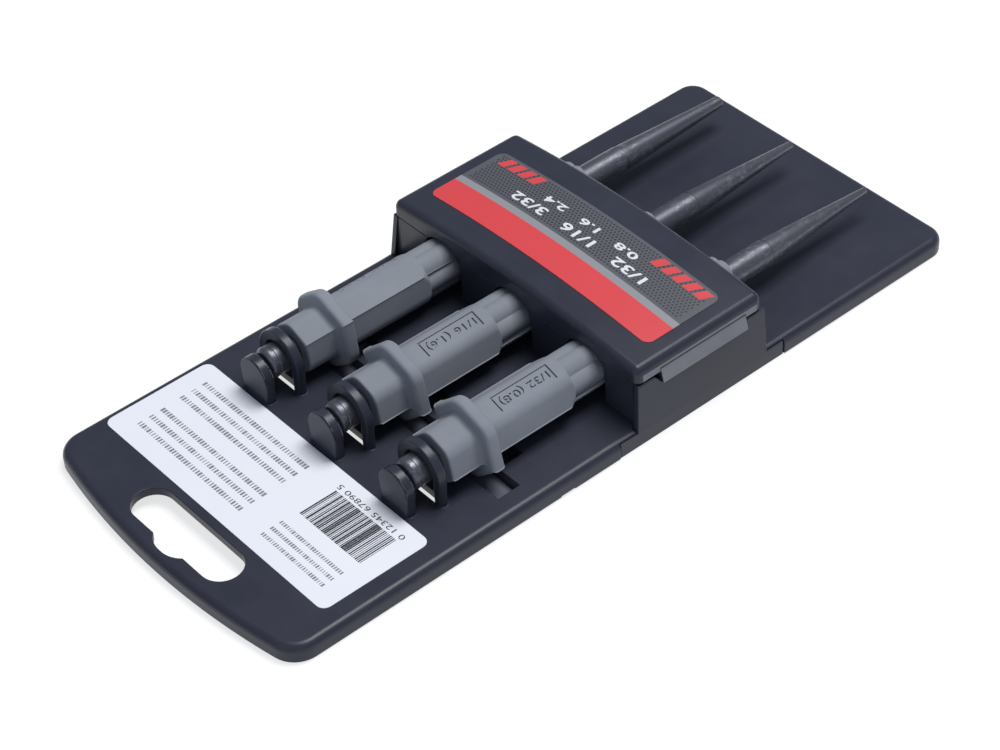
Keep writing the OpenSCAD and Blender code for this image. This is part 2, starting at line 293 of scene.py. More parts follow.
def weld(piece):
    """Merges points that lie together and drops faces without area."""
    bm = bmesh.new()
    bm.from_mesh(piece.data)
    bmesh.ops.remove_doubles(bm, verts=bm.verts, dist=WELD * MM)
    bmesh.ops.dissolve_degenerate(bm, edges=bm.edges, dist=WELD * MM)
    bm.to_mesh(piece.data)
    bm.free()


def soften(piece, width, segments=2, angle=35):
    """Rounds the sharp edges of a moulding."""
    weld(piece)
    piece.data.shade_smooth()
    edge = piece.modifiers.new("edges", "BEVEL")
    edge.width = width * MM
    edge.segments = segments
    edge.limit_method = "ANGLE"
    edge.angle_limit = math.radians(angle)
    edge.use_clamp_overlap = False
    settle(piece)
    weld(piece)
    normals = piece.modifiers.new("normals", "WEIGHTED_NORMAL")
    normals.keep_sharp = True
    settle(piece)


def dress(piece, material, body, slot, *nodes):
    """Gives the piece its material and its body, and hides the frame's nodes that it stands for."""
    piece.data.materials.clear()
    piece.data.materials.append(material)
    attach(piece, body)
    if nodes:
        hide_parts(*nodes)


def smooth(piece, angle=35):
    """Smooth shading with edges that stay sharp past an angle."""
    piece.data.shade_smooth()
    piece.data.set_sharp_from_angle(angle=math.radians(angle))


# Geometry node trees

def node_tree(name, inputs):
    """Geometry tree with named inputs; returns it with its input node and each input's identifier."""
    tree = bpy.data.node_groups.new(name, "GeometryNodeTree")
    tree.interface.new_socket("Geometry", in_out="INPUT", socket_type="NodeSocketGeometry")
    tree.interface.new_socket("Geometry", in_out="OUTPUT", socket_type="NodeSocketGeometry")
    names = {}
    for label, kind in inputs:
        socket = tree.interface.new_socket(label, in_out="INPUT", socket_type="NodeSocket" + kind)
        names[label] = socket.identifier
    return tree, tree.nodes.new("NodeGroupInput"), names


def wire(tree, source, target):
    tree.links.new(source, target)


def sum_node(tree, operation, *values):
    """Math node whose inputs are sockets or numbers; returns its result."""
    node = tree.nodes.new("ShaderNodeMath")
    node.operation = operation
    for socket, value in zip(node.inputs, values):
        if isinstance(value, (int, float)):
            socket.default_value = value
        else:
            wire(tree, value, socket)
    return node.outputs[0]


def end_tree(tree, geometry, material_socket):
    """Ends a tree in Realize Instances and Set Material."""
    real = tree.nodes.new("GeometryNodeRealizeInstances")
    paint = tree.nodes.new("GeometryNodeSetMaterial")
    end = tree.nodes.new("NodeGroupOutput")
    wire(tree, geometry, real.inputs["Geometry"])
    wire(tree, real.outputs["Geometry"], paint.inputs["Geometry"])
    wire(tree, material_socket, paint.inputs["Material"])
    wire(tree, paint.outputs["Geometry"], end.inputs[0])


def turned_tree():
    """Rings round a line, each as wide as the line's own reach there."""
    tree, start, names = node_tree("turned_rod", [("Sides", "Int"), ("Material", "Material")])
    line = tree.nodes.new("GeometryNodeMeshToCurve")
    reach = tree.nodes.new("GeometryNodeInputNamedAttribute")
    reach.data_type = "FLOAT"
    reach.inputs["Name"].default_value = "reach"
    ring = tree.nodes.new("GeometryNodeCurvePrimitiveCircle")
    ring.inputs["Radius"].default_value = 1.0
    turn = tree.nodes.new("GeometryNodeCurveToMesh")
    turn.inputs["Fill Caps"].default_value = True
    wire(tree, start.outputs["Geometry"], line.inputs["Mesh"])
    wire(tree, start.outputs["Sides"], ring.inputs["Resolution"])
    wire(tree, line.outputs["Curve"], turn.inputs["Curve"])
    wire(tree, ring.outputs["Curve"], turn.inputs["Profile Curve"])
    wire(tree, reach.outputs["Attribute"], turn.inputs["Scale"])
    end_tree(tree, turn.outputs["Mesh"], start.outputs["Material"])
    return tree, names


def grid_points(tree, start, row_step):
    """Grid node whose columns and rows come from the tree's inputs."""
    grid = tree.nodes.new("GeometryNodeMeshGrid")
    wide = sum_node(tree, "SUBTRACT", start.outputs["Columns"], 1)
    deep = sum_node(tree, "SUBTRACT", start.outputs["Rows"], 1)
    wire(tree, sum_node(tree, "MULTIPLY", wide, start.outputs["Step"]), grid.inputs["Size X"])
    wire(tree, sum_node(tree, "MULTIPLY", deep, row_step), grid.inputs["Size Y"])
    wire(tree, start.outputs["Columns"], grid.inputs["Vertices X"])
    wire(tree, start.outputs["Rows"], grid.inputs["Vertices Y"])
    return grid


def bars_tree():
    """Rows of printed bars whose widths vary."""
    inputs = [("Columns", "Int"), ("Rows", "Int"), ("Step", "Float"), ("Row Step", "Float"),
              ("Height", "Float"), ("Ink", "Float"), ("Least", "Float"), ("Most", "Float"),
              ("Seed", "Int"), ("Material", "Material")]
    tree, start, names = node_tree("bar_rows", inputs)
    line = grid_points(tree, start, start.outputs["Row Step"])
    bar = tree.nodes.new("GeometryNodeMeshCube")
    width = tree.nodes.new("FunctionNodeRandomValue")
    size = tree.nodes.new("ShaderNodeCombineXYZ")
    spread = tree.nodes.new("GeometryNodeInstanceOnPoints")
    wire(tree, start.outputs["Least"], width.inputs[2])
    wire(tree, start.outputs["Most"], width.inputs[3])
    wire(tree, start.outputs["Seed"], width.inputs["Seed"])
    share = width.outputs[1]
    wire(tree, sum_node(tree, "MULTIPLY", share, start.outputs["Step"]), size.inputs["X"])
    wire(tree, start.outputs["Height"], size.inputs["Y"])
    wire(tree, start.outputs["Ink"], size.inputs["Z"])
    wire(tree, line.outputs["Mesh"], spread.inputs["Points"])
    wire(tree, bar.outputs["Mesh"], spread.inputs["Instance"])
    wire(tree, size.outputs["Vector"], spread.inputs["Scale"])
    end_tree(tree, spread.outputs["Instances"], start.outputs["Material"])
    return tree, names


def dots_tree():
    """Staggered field of printed dots that follows a crowned surface."""
    inputs = [("Columns", "Int"), ("Rows", "Int"), ("Step", "Float"), ("Dot", "Float"),
              ("Ink", "Float"), ("Crown Radius", "Float"), ("Material", "Material")]
    tree, start, names = node_tree("dot_field", inputs)
    row_step = sum_node(tree, "MULTIPLY", start.outputs["Step"], cosd(30))
    grid = grid_points(tree, start, row_step)
    place = tree.nodes.new("GeometryNodeInputPosition")
    parts = tree.nodes.new("ShaderNodeSeparateXYZ")
    wire(tree, place.outputs["Position"], parts.inputs["Vector"])
    row = sum_node(tree, "ROUND", sum_node(tree, "DIVIDE", parts.outputs["Y"], row_step))
    odd = sum_node(tree, "ABSOLUTE", sum_node(tree, "MODULO", row, 2))
    shift = tree.nodes.new("ShaderNodeCombineXYZ")
    half_step = sum_node(tree, "MULTIPLY", start.outputs["Step"], 0.5)
    side = sum_node(tree, "SUBTRACT", odd, 0.5)
    wire(tree, sum_node(tree, "MULTIPLY", side, half_step), shift.inputs["X"])
    stagger = tree.nodes.new("GeometryNodeSetPosition")
    wire(tree, grid.outputs["Mesh"], stagger.inputs["Geometry"])
    wire(tree, shift.outputs["Vector"], stagger.inputs["Offset"])
    dot = tree.nodes.new("GeometryNodeMeshCylinder")
    dot.inputs["Vertices"].default_value = 6
    wire(tree, start.outputs["Dot"], dot.inputs["Radius"])
    wire(tree, start.outputs["Ink"], dot.inputs["Depth"])
    spread = tree.nodes.new("GeometryNodeInstanceOnPoints")
    wire(tree, stagger.outputs["Geometry"], spread.inputs["Points"])
    wire(tree, dot.outputs["Mesh"], spread.inputs["Instance"])
    real = tree.nodes.new("GeometryNodeRealizeInstances")
    wire(tree, spread.outputs["Instances"], real.inputs["Geometry"])
    square = sum_node(tree, "POWER", parts.outputs["X"], 2)
    radius = start.outputs["Crown Radius"]
    rise = sum_node(tree, "SQRT", sum_node(tree, "SUBTRACT", sum_node(tree, "POWER", radius, 2), square))
    lift = tree.nodes.new("ShaderNodeCombineXYZ")
    wire(tree, sum_node(tree, "SUBTRACT", rise, radius), lift.inputs["Z"])
    bend = tree.nodes.new("GeometryNodeSetPosition")
    wire(tree, real.outputs["Geometry"], bend.inputs["Geometry"])
    wire(tree, lift.outputs["Vector"], bend.inputs["Offset"])
    end_tree(tree, bend.outputs["Geometry"], start.outputs["Material"])
    return tree, names


def grow(name, tree_and_names, values, seed_mesh=None):
    """Runs a geometry tree with its inputs set and keeps the result as a plain mesh."""
    tree, names = tree_and_names
    mesh = seed_mesh or bpy.data.meshes.new(name)
    piece = bpy.data.objects.new(name, mesh)
    bpy.context.scene.collection.objects.link(piece)
    step = piece.modifiers.new("tree", "NODES")
    step.node_group = tree
    for label, value in values.items():
        step[names[label]] = value
    settle(piece)
    return piece


# Materials

def group_tree(name, inputs, outputs):
    """Shader group with named sockets; returns the tree with its two end nodes."""
    tree = bpy.data.node_groups.new(name, "ShaderNodeTree")
    for label, kind in inputs:
        tree.interface.new_socket(label, in_out="INPUT", socket_type="NodeSocket" + kind)
    for label, kind in outputs:
        tree.interface.new_socket(label, in_out="OUTPUT", socket_type="NodeSocket" + kind)
    return tree, tree.nodes.new("NodeGroupInput"), tree.nodes.new("NodeGroupOutput")


def noise(tree, vector, scale, detail=3.0, rough=0.55):
    """Noise texture; returns its factor."""
    node = tree.nodes.new("ShaderNodeTexNoise")
    node.inputs["Detail"].default_value = detail
    node.inputs["Roughness"].default_value = rough
    wire(tree, vector, node.inputs["Vector"])
    if isinstance(scale, (int, float)):
        node.inputs["Scale"].default_value = scale
    else:
        wire(tree, scale, node.inputs["Scale"])
    return node.outputs["Fac"]


def between(tree, factor, low, high, out_low, out_high):
    """Maps a factor from one range to another, held at the ends."""
    node = tree.nodes.new("ShaderNodeMapRange")
    wire(tree, factor, node.inputs["Value"])
    for label, value in (("From Min", low), ("From Max", high), ("To Min", out_low), ("To Max", out_high)):
        node.inputs[label].default_value = value
    return node.outputs["Result"]


def grain_group():
    """Moulded grain: a fine height and a slow change over the surface."""
    tree, start, end = group_tree("moulded_grain", [("Vector", "Vector"), ("Scale", "Float")],
                                  [("Height", "Float"), ("Drift", "Float")])
    fine = noise(tree, start.outputs["Vector"], start.outputs["Scale"], detail=2.0, rough=0.6)
    slow_scale = sum_node(tree, "MULTIPLY", start.outputs["Scale"], 0.02)
    slow = noise(tree, start.outputs["Vector"], slow_scale, detail=4.0, rough=0.6)
    wire(tree, fine, end.inputs["Height"])
    wire(tree, slow, end.inputs["Drift"])
    return tree


def scuff_group():
    """Rubbed and scratched spots as a mask."""
    tree, start, end = group_tree("scuffs", [("Vector", "Vector"), ("Scale", "Float"), ("Reach", "Float")],
                                  [("Mask", "Float")])
    marks = noise(tree, start.outputs["Vector"], start.outputs["Scale"], detail=6.0, rough=0.7)
    wide_scale = sum_node(tree, "MULTIPLY", start.outputs["Scale"], 0.12)
    patches = noise(tree, start.outputs["Vector"], wide_scale, detail=2.0, rough=0.5)
    spots = between(tree, marks, 0.5, 0.72, 0, 1)
    areas = between(tree, patches, 0.4, 0.7, 0, 1)
    both = sum_node(tree, "MULTIPLY", spots, areas)
    wire(tree, sum_node(tree, "MULTIPLY", both, start.outputs["Reach"]), end.inputs["Mask"])
    return tree


GRAIN = grain_group()
SCUFFS = scuff_group()


def new_material(name, roughness, metallic=0.0, specular=0.5):
    """Material with a Principled shader; returns both and the object coordinates."""
    material = bpy.data.materials.new(name)
    material.use_nodes = True
    tree = material.node_tree
    shader = tree.nodes["Principled BSDF"]
    shader.inputs["Roughness"].default_value = roughness
    shader.inputs["Metallic"].default_value = metallic
    shader.inputs["Specular IOR Level"].default_value = specular
    place = tree.nodes.new("ShaderNodeTexCoord")
    return material, tree, shader, place.outputs["Object"]


def use_group(tree, group, vector, **values):
    """Places a shader group in a material."""
    node = tree.nodes.new("ShaderNodeGroup")
    node.node_tree = group
    wire(tree, vector, node.inputs["Vector"])
    for label, value in values.items():
        node.inputs[label].default_value = value
    return node.outputs


def blend_colours(tree, factor, first, second):
    """Mixes two colours, each a socket or a triple."""
    node = tree.nodes.new("ShaderNodeMix")
    node.data_type = "RGBA"
    wire(tree, factor, node.inputs["Factor"])
    for socket, value in zip((node.inputs[6], node.inputs[7]), (first, second)):
        if isinstance(value, tuple):
            socket.default_value = (*value, 1.0)
        else:
            wire(tree, value, socket)
    return node.outputs[2]


def bump(tree, shader, height, strength, distance):
    """Feeds a height to the shader's normal."""
    node = tree.nodes.new("ShaderNodeBump")
    node.inputs["Strength"].default_value = strength
    node.inputs["Distance"].default_value = distance * MM
    wire(tree, height, node.inputs["Height"])
    wire(tree, node.outputs["Normal"], shader.inputs["Normal"])


def moulded_plastic(name, dark, light, rough_low, rough_high, grain_scale, grain_depth, specular):
    """Grained moulding whose tone and gloss drift a little over the surface."""
    material, tree, shader, place = new_material(name, rough_low, specular=specular)
    grain = use_group(tree, GRAIN, place, Scale=grain_scale)
    tone = between(tree, grain["Drift"], 0.3, 0.7, 0, 1)
    wire(tree, blend_colours(tree, tone, dark, light), shader.inputs["Base Color"])
    wire(tree, between(tree, grain["Drift"], 0.3, 0.7, rough_low, rough_high), shader.inputs["Roughness"])
    bump(tree, shader, grain["Height"], strength=0.35, distance=grain_depth)
    return material


def black_steel():
    """Blackened steel with brighter scuffs."""
    material, tree, shader, place = new_material("black_steel", 0.42, metallic=0.6)
    grain = use_group(tree, GRAIN, place, Scale=2600.0)
    stretch = tree.nodes.new("ShaderNodeMapping")
    stretch.inputs["Scale"].default_value = (1.0, 0.45, 1.0)
    wire(tree, place, stretch.inputs["Vector"])
    worn = use_group(tree, SCUFFS, stretch.outputs["Vector"], Scale=1100.0, Reach=0.8)
    plain = blend_colours(tree, grain["Drift"], (0.092, 0.095, 0.116), (0.135, 0.138, 0.162))
    wire(tree, blend_colours(tree, worn["Mask"], plain, (0.38, 0.385, 0.405)), shader.inputs["Base Color"])
    wire(tree, between(tree, worn["Mask"], 0, 1, 0.38, 0.28), shader.inputs["Roughness"])
    bump(tree, shader, grain["Height"], strength=0.25, distance=0.02)
    return material


def paper():
    """White coated sticker that lies a little uneven."""
    material, tree, shader, place = new_material("white_sticker", 0.5)
    grain = use_group(tree, GRAIN, place, Scale=1800.0)
    tone = blend_colours(tree, grain["Drift"], (0.79, 0.805, 0.86), (0.86, 0.875, 0.925))
    wire(tree, tone, shader.inputs["Base Color"])
    waves = noise(tree, place, 55.0, detail=1.0, rough=0.4)
    bump(tree, shader, waves, strength=0.5, distance=0.5)
    return material


def printed_film():
    """Sticker in bands across the lid: red, grey and charcoal."""
    material, tree, shader, place = new_material("printed_film", 0.32)
    parts = tree.nodes.new("ShaderNodeSeparateXYZ")
    wire(tree, place, parts.inputs["Vector"])
    band_end = sum_node(tree, "GREATER_THAN", parts.outputs["Y"], RED_END * MM)
    stripe_end = sum_node(tree, "GREATER_THAN", parts.outputs["Y"], STRIPE_END * MM)
    grain = use_group(tree, GRAIN, place, Scale=1500.0)
    red = blend_colours(tree, grain["Drift"], (0.66, 0.055, 0.062), (0.73, 0.07, 0.078))
    charcoal = blend_colours(tree, grain["Drift"], (0.085, 0.086, 0.1), (0.12, 0.121, 0.136))
    lower = blend_colours(tree, band_end, red, (0.28, 0.28, 0.3))
    wire(tree, blend_colours(tree, stripe_end, lower, charcoal), shader.inputs["Base Color"])
    waves = noise(tree, place, 90.0, detail=2.0, rough=0.5)
    bump(tree, shader, waves, strength=0.3, distance=0.25)
    return material


def ink(name, colour, roughness):
    """Printed ink with a slight change of depth."""
    material, tree, shader, place = new_material(name, roughness)
    grain = use_group(tree, GRAIN, place, Scale=1500.0)
    deep = tuple(0.85 * c for c in colour)
    wire(tree, blend_colours(tree, grain["Drift"], deep, colour), shader.inputs["Base Color"])
    return material


RED_END = 17.3
STRIPE_END = 19.4
HOLDER = moulded_plastic("holder_plastic", (0.029, 0.032, 0.047), (0.036, 0.039, 0.056),
                         rough_low=0.28, rough_high=0.36, grain_scale=3200.0, grain_depth=0.03, specular=0.28)
GRIP = moulded_plastic("grip_plastic", (0.213, 0.228, 0.259), (0.253, 0.269, 0.302),
                       rough_low=0.6, rough_high=0.7, grain_scale=2400.0, grain_depth=0.03, specular=0.22)
STEEL = black_steel()
PAPER = paper()
FILM = printed_film()
RED_INK = ink("red_ink", (0.73, 0.07, 0.078), 0.32)
WHITE_INK = ink("white_ink", (0.8, 0.8, 0.82), 0.4)
DOT_INK = ink("dark_ink", (0.035, 0.035, 0.042), 0.36)
BAR_INK = ink("bar_ink", (0.02, 0.02, 0.03), 0.5)
RULE_INK = ink("rule_ink", (0.25, 0.25, 0.29), 0.5)
# Lighter holder plastic for the latch tabs' outer faces: a painted highlight for the light that falls on them
LATCH_PAINTED_LIGHT = moulded_plastic("latch_painted_light", (0.15, 0.152, 0.175), (0.24, 0.242, 0.27),
                         rough_low=0.5, rough_high=0.6, grain_scale=1500.0, grain_depth=0.25, specular=0.5)
# Paler holder plastic for the trough floor: painted light where light falls into the trough
TROUGH_PAINTED_LIGHT = moulded_plastic("trough_painted_light", (0.085, 0.09, 0.122), (0.12, 0.126, 0.16),
                         rough_low=0.5, rough_high=0.6, grain_scale=1500.0, grain_depth=0.1, specular=0.4)


# Holder tray

def tray_outline(inset):
    """Plan of the tray, moved inwards."""
    bow_r = (HALF_W**2 + BOW**2) / (2 * BOW)
    bow_y = bow_r - HALF_L
    near_x = HALF_W - NEAR_CORNER
    near_y = bow_y - math.sqrt((bow_r - NEAR_CORNER) ** 2 - near_x**2)
    turn = math.degrees(math.acos(near_x / (bow_r - NEAR_CORNER)))
    far_x = HALF_W - FAR_CORNER
    far_y = HALF_L - FAR_CORNER
    points = arc(far_x, far_y, FAR_CORNER - inset, 0, 90, CORNER_STEPS)
    points += arc(-far_x, far_y, FAR_CORNER - inset, 90, 180, CORNER_STEPS)
    points += arc(-near_x, near_y, NEAR_CORNER - inset, 180, 180 + turn, CORNER_STEPS)
    points += arc(0, bow_y, bow_r - inset, 180 + turn, 360 - turn, BOW_STEPS)[1:-1]
    points += arc(near_x, near_y, NEAR_CORNER - inset, 360 - turn, 360, CORNER_STEPS)
    return points


def hang_slot_outline():
    """Plan of the hang slot with its hook notch."""
    end_r = SLOT_H / 2
    middle = SLOT_IN + end_r - HALF_L
    end_x = SLOT_W / 2 - end_r
    points = arc(end_x, middle, end_r, -90, 90, SLOT_STEPS)
    points += arc(-end_x, middle, end_r, 90, 270, SLOT_STEPS)
    half = NOTCH_W / 2
    for x in steps(-half, half, SLOT_STEPS):
        points.append((x, middle - end_r - NOTCH_H * (1 - abs(x / half) ** NOTCH_POWER)))
    return points


def arch_outline(x, half, top, foot):
    """Round-topped outline that stands on a foot."""
    return [(x - half, foot), (x + half, foot)] + arc(x, top - half, half, 0, 180, ARCH_STEPS)


def hexagon_points(across, edge, roll, x):
    """X-Z outline of a grip's hexagon about a setter's axis."""
    turns = steps(0, 360, TURN_STEPS)[:-1]
    return [(x + hexagon_reach(t, across, edge) * cosd(roll + t),
             AXIS_Z + hexagon_reach(t, across, edge) * sind(roll + t)) for t in turns]


def raised_arch(name, x, half, top, y0, y1, edge):
    """Upright with a rounded edge along its front and back."""
    bm = bmesh.new()
    bar_y(bm, arch_outline(x, half, top, TRAY_TOP - PLATE / 2), y0, y1)
    flat = [f for f in bm.faces if len(f.verts) > 4]
    rims = {e for f in flat for e in f.edges if max(v.co.z for v in e.verts) > TRAY_TOP}
    bmesh.ops.bevel(bm, geom=list(rims), offset=edge, segments=4, affect="EDGES", profile=0.5)
    return new_object(name, bm)


def tray_blank():
    """Plate and skirt in one skin."""
    bm = bmesh.new()
    levels = [(SKIRT, TRAY_TOP - PLATE), (SKIRT, 0.0), (FOOT_EDGE, 0.0), (0.0, FOOT_EDGE)]
    for a in steps(0, 90, RIM_STEPS):
        levels.append((RIM * (1 - cosd(a)), TRAY_TOP - RIM + RIM * sind(a)))
    skin(bm, [[(x, y, z) for x, y in tray_outline(inset)] for inset, z in levels])
    return new_object("tray_shell", bm)


def trough_walls():
    """Solid under the plate that carries the trough."""
    bm = bmesh.new()
    top = TRAY_TOP - PLATE / 2
    wide = TROUGH_HALF + TROUGH_WALL
    block(bm, (-wide, TROUGH_Y[0] - TROUGH_WALL, 0), (wide, TROUGH_Y[1] + TROUGH_WALL, top))
    return new_object("trough_walls", bm)


def runway_walls(x):
    """Solid under one runway."""
    bm = bmesh.new()
    half = FLANGE_AF / 2
    block(bm, (x - half, FLANGE_Y, 0), (x + half, RUNWAY_END + TROUGH_WALL, TRAY_TOP - PLATE / 2))
    return new_object("runway_walls", bm)


def trough_floor():
    """Height of the trough's floor, clear of every flange."""
    flanges = [hexagon_points(FLANGE_AF, FLANGE_EDGE, ROLLS[mark], 0) for mark in MARKS]
    return min(z for points in flanges for x, z in points) - TROUGH_AIR


def tray_cutters():
    """Everything that is cut from the tray, one tool after another."""
    under = -CUT_PAST
    high = TRAY_TOP + CUT_PAST
    bm = bmesh.new()
    skin(bm, [[(x, y, z) for x, y in hang_slot_outline()] for z in (under, high)])
    yield new_object("slot_tool", bm)
    bm = bmesh.new()
    block(bm, (-TROUGH_HALF, TROUGH_Y[0], trough_floor()), (TROUGH_HALF, TROUGH_Y[1], high))
    yield new_object("trough_tool", bm)
    bm = bmesh.new()
    for mark in MARKS:
        outline = hexagon_points(FLANGE_AF + 2 * RUNWAY_AIR, FLANGE_EDGE, ROLLS[mark], axis_x(mark))
        bar_y(bm, outline, FLANGE_Y, RUNWAY_END)
    yield new_object("runway_tool", bm)
    bm = bmesh.new()
    hoop_top = AXIS_Z + HEAD_R + HOOP_AIR
    for mark in MARKS:
        outline = arch_outline(axis_x(mark), HOOP_IN, hoop_top, TRAY_TOP)
        bar_y(bm, outline, HOOP_Y - SEAM, HOOP_Y + HOOP_T + SEAM)
    yield new_object("hoop_tool", bm)
    bm = bmesh.new()
    for mark in MARKS:
        x = axis_x(mark)
        hole_end = HOOP_Y + HOOP_T + HOLE_MORE
        block(bm, (x - HOOP_IN, HOOP_Y + HOLE_SET, under), (x + HOOP_IN, hole_end, high))
    yield new_object("hole_tool", bm)
    frame_low, frame_high = box_mm("bridge_frame")
    foot_y = (frame_low.y - BRIDGE_AIR, frame_high.y + BRIDGE_AIR)
    inner = frame_high.x - BRIDGE_WALL - BRIDGE_AIR
    slots = [("wall_tool", WALL_SLOT_Y, high), ("foot_tool", foot_y, FOOT_SLOT_TOP),
             ("nick_tool", SKIRT_NICK, NICK_H)]
    for side in (-1, 1):
        left, right = sorted((side * inner, side * (HALF_W + CUT_PAST)))
        for name, (start, end), top in slots:
            bm = bmesh.new()
            block(bm, (left, start, under), (right, end, top))
            yield new_object(name, bm)


def make_tray():
    """Tray with stops, hoops, trough and slots, and a trough floor painted paler as painted light."""
    tray = tray_blank()
    combine(tray, trough_walls(), "UNION")
    hoop_top = AXIS_Z + HEAD_R + HOOP_AIR + HOOP_BAND
    stop_top = AXIS_Z + STOP_UP
    for mark in MARKS:
        x = axis_x(mark)
        combine(tray, runway_walls(x), "UNION")
        stop = raised_arch("stop", x, STOP_W / 2, stop_top, STOP_Y, STOP_Y + STOP_T, STOP_EDGE)
        combine(tray, stop, "UNION")
        half = HOOP_IN + HOOP_BAND
        hoop = raised_arch("hoop", x, half, hoop_top, HOOP_Y, HOOP_Y + HOOP_T, HOOP_EDGE)
        combine(tray, hoop, "UNION")
    for tool in tray_cutters():
        combine(tray, tool, "DIFFERENCE")
    soften(tray, MOULD_EDGE)
    dress(tray, HOLDER, "holder", "holder_plastic", "holder_tray")
    # The trough floor's upward faces get the paler plastic: painted light
    tray.data.materials.append(TROUGH_PAINTED_LIGHT)
    floor_z = trough_floor()
    for face in tray.data.polygons:
        if face.normal.z > TROUGH_FACING and abs(face.center.z / MM - floor_z) < SEAM:
            face.material_index = 1


# Bridge and lid

# Distance in metres at which the frame's points are merged, and how flat faces are that become one
SAME_POINT = 1e-6
FLAT_ANGLE = 1


def make_bridge():
    """The frame's own bridge with rounded edges and the gaps beside the latch tabs."""
    bm = bmesh.new()
    bm.from_mesh(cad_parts["bridge_frame"].data)
    bmesh.ops.remove_doubles(bm, verts=bm.verts, dist=SAME_POINT)
    bmesh.ops.dissolve_limit(bm, angle_limit=math.radians(FLAT_ANGLE), verts=bm.verts, edges=bm.edges)
    bridge = new_object("bridge_shell", bm, 1.0)
    gap_top = LID_Z + CUT_PAST
    gap = [(LATCH_GAP_Y, gap_top), (LATCH_Y[0], gap_top), (LATCH_Y[0], LATCH_Z)]
    for side in (-1, 1):
        bm = bmesh.new()
        span = (side * (LID_HALF - 2 * LID_WALL), side * (HALF_W + CUT_PAST))
        skin(bm, [[(x, y, z) for y, z in gap] for x in span])
        combine(bridge, new_object("gap_tool", bm), "DIFFERENCE")
    soften(bridge, MOULD_EDGE)
    dress(bridge, HOLDER, "holder", "holder_plastic", "bridge_frame")


def crown_z(x):
    """Height of the lid's crowned top."""
    return LID_TOP - CROWN_R + math.sqrt(CROWN_R**2 - x * x)


def crowned_plan(half, y0, y1, corner, inset):
    """Front and back edge of a rounded plan, each from left to right."""
    left = half - corner
    front = arc(-left, y0 + corner, corner - inset, 180, 270, EDGE_STEPS)
    front += [(x, y0 + inset) for x in steps(-left, left, PLAN_STEPS)[1:-1]]
    front += arc(left, y0 + corner, corner - inset, 270, 360, EDGE_STEPS)
    back = [(x, y0 + y1 - y) for x, y in front]
    return front, back


def crowned_skin(bm, levels, half, y0, y1, corner):
    """Rings of a crowned plan, with both ends filled in strips.

    A level is its inset and its height over x.
    """
    rings = []
    for inset, height in levels:
        front, back = crowned_plan(half, y0, y1, corner, inset)
        rings.append([(x, y, height(x)) for x, y in front + back[::-1]])
    loops = skin(bm, rings, caps=False)
    count = len(loops[0])
    for loop in (loops[0], loops[-1]):
        for i in range(count // 2 - 1):
            bm.faces.new((loop[i], loop[i + 1], loop[count - 2 - i], loop[count - 1 - i]))


def lid_levels():
    """Inside of the lid, its stepped lower edge, its side and its rounded upper edge."""
    levels = [(LID_WALL, lambda x: crown_z(x) - LID_WALL), (LID_WALL, lambda x: LID_Z),
              (LID_STEP, lambda x: LID_Z), (LID_STEP, lambda x: LID_Z + LID_STEP),
              (0.0, lambda x: LID_Z + LID_STEP + LID_SLOPE)]
    for a in steps(0, 90, EDGE_STEPS):
        levels.append((LID_EDGE * (1 - cosd(a)), lambda x, a=a: crown_z(x) - LID_EDGE * (1 - sind(a))))
    return levels


def latch_tab(side):
    """Wedge on the lid's side that hangs under its edge and stands out a little from the wall."""
    bm = bmesh.new()
    inner = LID_HALF - LID_WALL
    out = LATCH_OUT + LATCH_RISE
    lip = LATCH_OUT + LATCH_AIR
    section = [(inner, LATCH_TOP), (LID_HALF + SEAM, LATCH_TOP), (out, LATCH_Z), (out, LATCH_Z - LATCH_LIP),
               (lip, LATCH_Z - LATCH_LIP), (lip, LATCH_Z), (inner, LATCH_Z)]
    bar_y(bm, [(side * x, z) for x, z in section], *LATCH_Y)
    return new_object("latch_tab", bm)


def make_lid():
    """Crowned lid with its latch tabs, cut out over the setters; the tabs' outer faces get a lighter plastic,
    a painted highlight.
    """
    bm = bmesh.new()
    crowned_skin(bm, lid_levels(), LID_HALF, LID_Y0, LID_Y1, LID_CORNER)
    lid = new_object("lid_shell", bm)
    for side in (-1, 1):
        combine(lid, latch_tab(side), "UNION")
    half_step = 180 / TUNNEL_STEPS
    for mark in MARKS:
        bm = bmesh.new()
        tunnel = arc(axis_x(mark), AXIS_Z, TUNNEL_R, half_step, 360 - half_step, TUNNEL_STEPS - 1)
        bar_y(bm, tunnel, LID_Y0 - CUT_PAST, LID_Y1 + CUT_PAST)
        combine(lid, new_object("tunnel_tool", bm), "DIFFERENCE")
    soften(lid, LID_SOFT)
    dress(lid, HOLDER, "holder", "holder_plastic", "bridge_lid")
    # The latch tabs' outer faces get the lighter plastic: a painted highlight
    lid.data.materials.append(LATCH_PAINTED_LIGHT)
    for face in lid.data.polygons:
        below = face.center.z < LATCH_TOP * MM
        beside = abs(face.center.x) > LID_HALF * MM
        if below and beside and abs(face.normal.x) > LATCH_FACING:
            face.material_index = 1


# Stickers and print

INK = 0.012
INK_AIR = 0.002
PRINT_RIGHT = Vector((-1, 0, 0))
PRINT_UP = Vector((0, -1, 0))
STICKER_T = 0.15
STICKER_EDGE = 0.05
STICKER_CORNER = 2.2
DOT_PITCH = 1.05
DOT_R = 0.33
DOT_SIDE_MARGIN = 2.5
DOT_END_MARGIN = 1.2
LID_BOLD = 0.022
RED_BAR_STEP = 3.6
RED_BAR_W = 2.6
RED_BAR_Y = (28.4, 31.8)
RED_BAR_SLANT = 1.6
BARS_X = 23.0
NUMBERS_Y = -60.3
NUMBERS_L = 23.0
NUMBERS_H = 1.5

# Lettering before it is scaled: steps of a curve, and the merging distance in the font's own units
LETTER_STEPS = 3
LETTER_GAP = 1e-5

